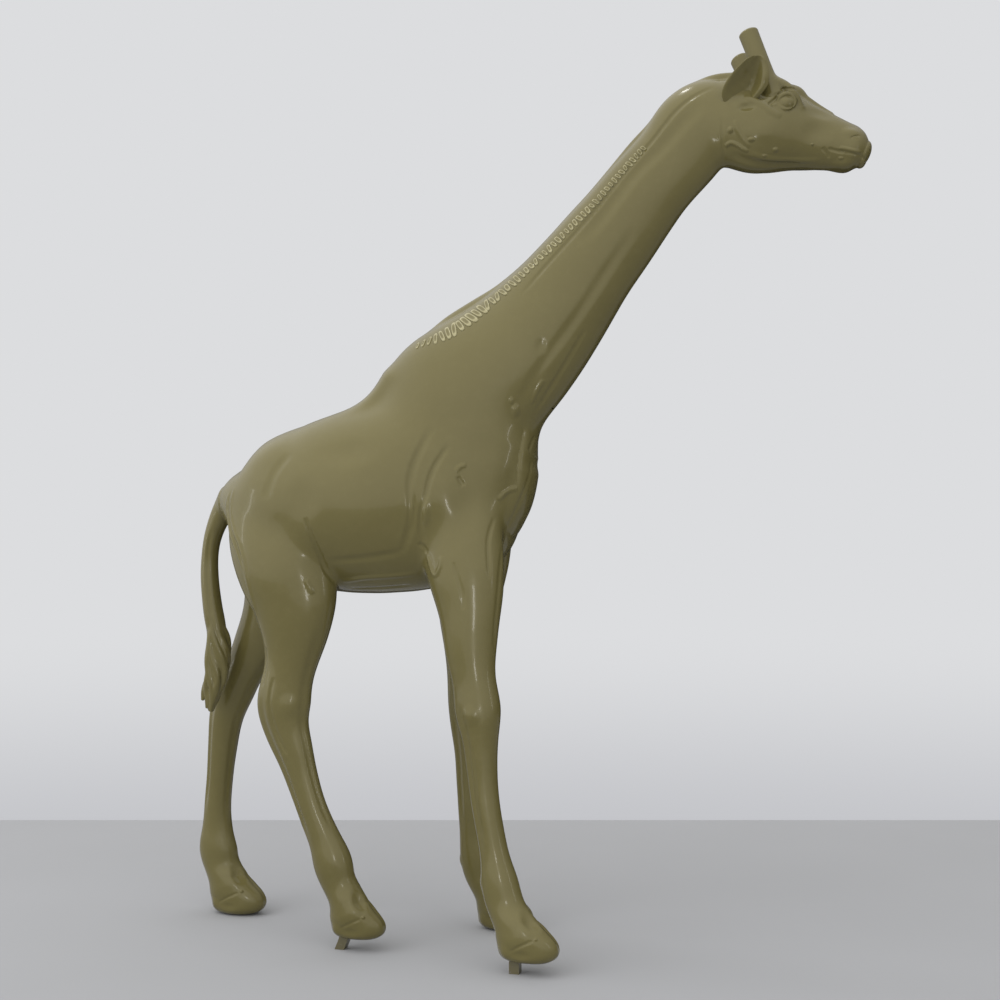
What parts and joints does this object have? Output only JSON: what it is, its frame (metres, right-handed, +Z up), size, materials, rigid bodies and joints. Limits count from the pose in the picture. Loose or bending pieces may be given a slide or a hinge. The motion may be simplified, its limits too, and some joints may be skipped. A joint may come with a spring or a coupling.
{
  "type": "giraffe statue",
  "caption": "Walking giraffe figure moulded in hollow lacquered shells over a welded steel frame, standing on its soles and floor lugs.",
  "frame": {"origin": "middle of the statue's bounding box, on the floor it stands on", "axes": "+X forward, towards the nose; +Y to the animal's left; +Z up"},
  "size_m": [1.9549, 0.4639, 2.4182],
  "materials": {
    "lacquered_skin": "olive two-pack lacquer, high gloss, over filled and sanded glass-fibre laminate",
    "frame_steel": "mill-finish welded mild steel tube, bar and plate",
    "lug_steel": "square steel stub, oversprayed with the skin's lacquer"
  },
  "bodies": {
    "root": {"torso_shell_left": "lacquered_skin", "torso_shell_right": "lacquered_skin", "neck_shell_left": "lacquered_skin", "neck_shell_right": "lacquered_skin", "head_shell_left": "lacquered_skin", "head_shell_right": "lacquered_skin", "front_leg_shell_left": "lacquered_skin", "front_leg_shell_right": "lacquered_skin", "hind_leg_shell_left": "lacquered_skin", "hind_leg_shell_right": "lacquered_skin", "tail": "lacquered_skin", "tail_tuft": "lacquered_skin", "ossicone_left": "lacquered_skin", "ossicone_right": "lacquered_skin", "ear_left": "lacquered_skin", "ear_right": "lacquered_skin", "shoulder_crossbar": "frame_steel", "hip_crossbar": "frame_steel", "spine_tube": "frame_steel", "neck_tube": "frame_steel", "tail_rod": "frame_steel", "front_leg_tube_left": "frame_steel", "front_sole_plate_left": "frame_steel", "front_leg_tube_right": "frame_steel", "front_sole_plate_right": "frame_steel", "hind_leg_tube_left": "frame_steel", "hind_sole_plate_left": "frame_steel", "hind_leg_tube_right": "frame_steel", "hind_sole_plate_right": "frame_steel", "front_floor_lug": "lug_steel", "hind_floor_lug": "lug_steel"}
  },
  "joints": []
}
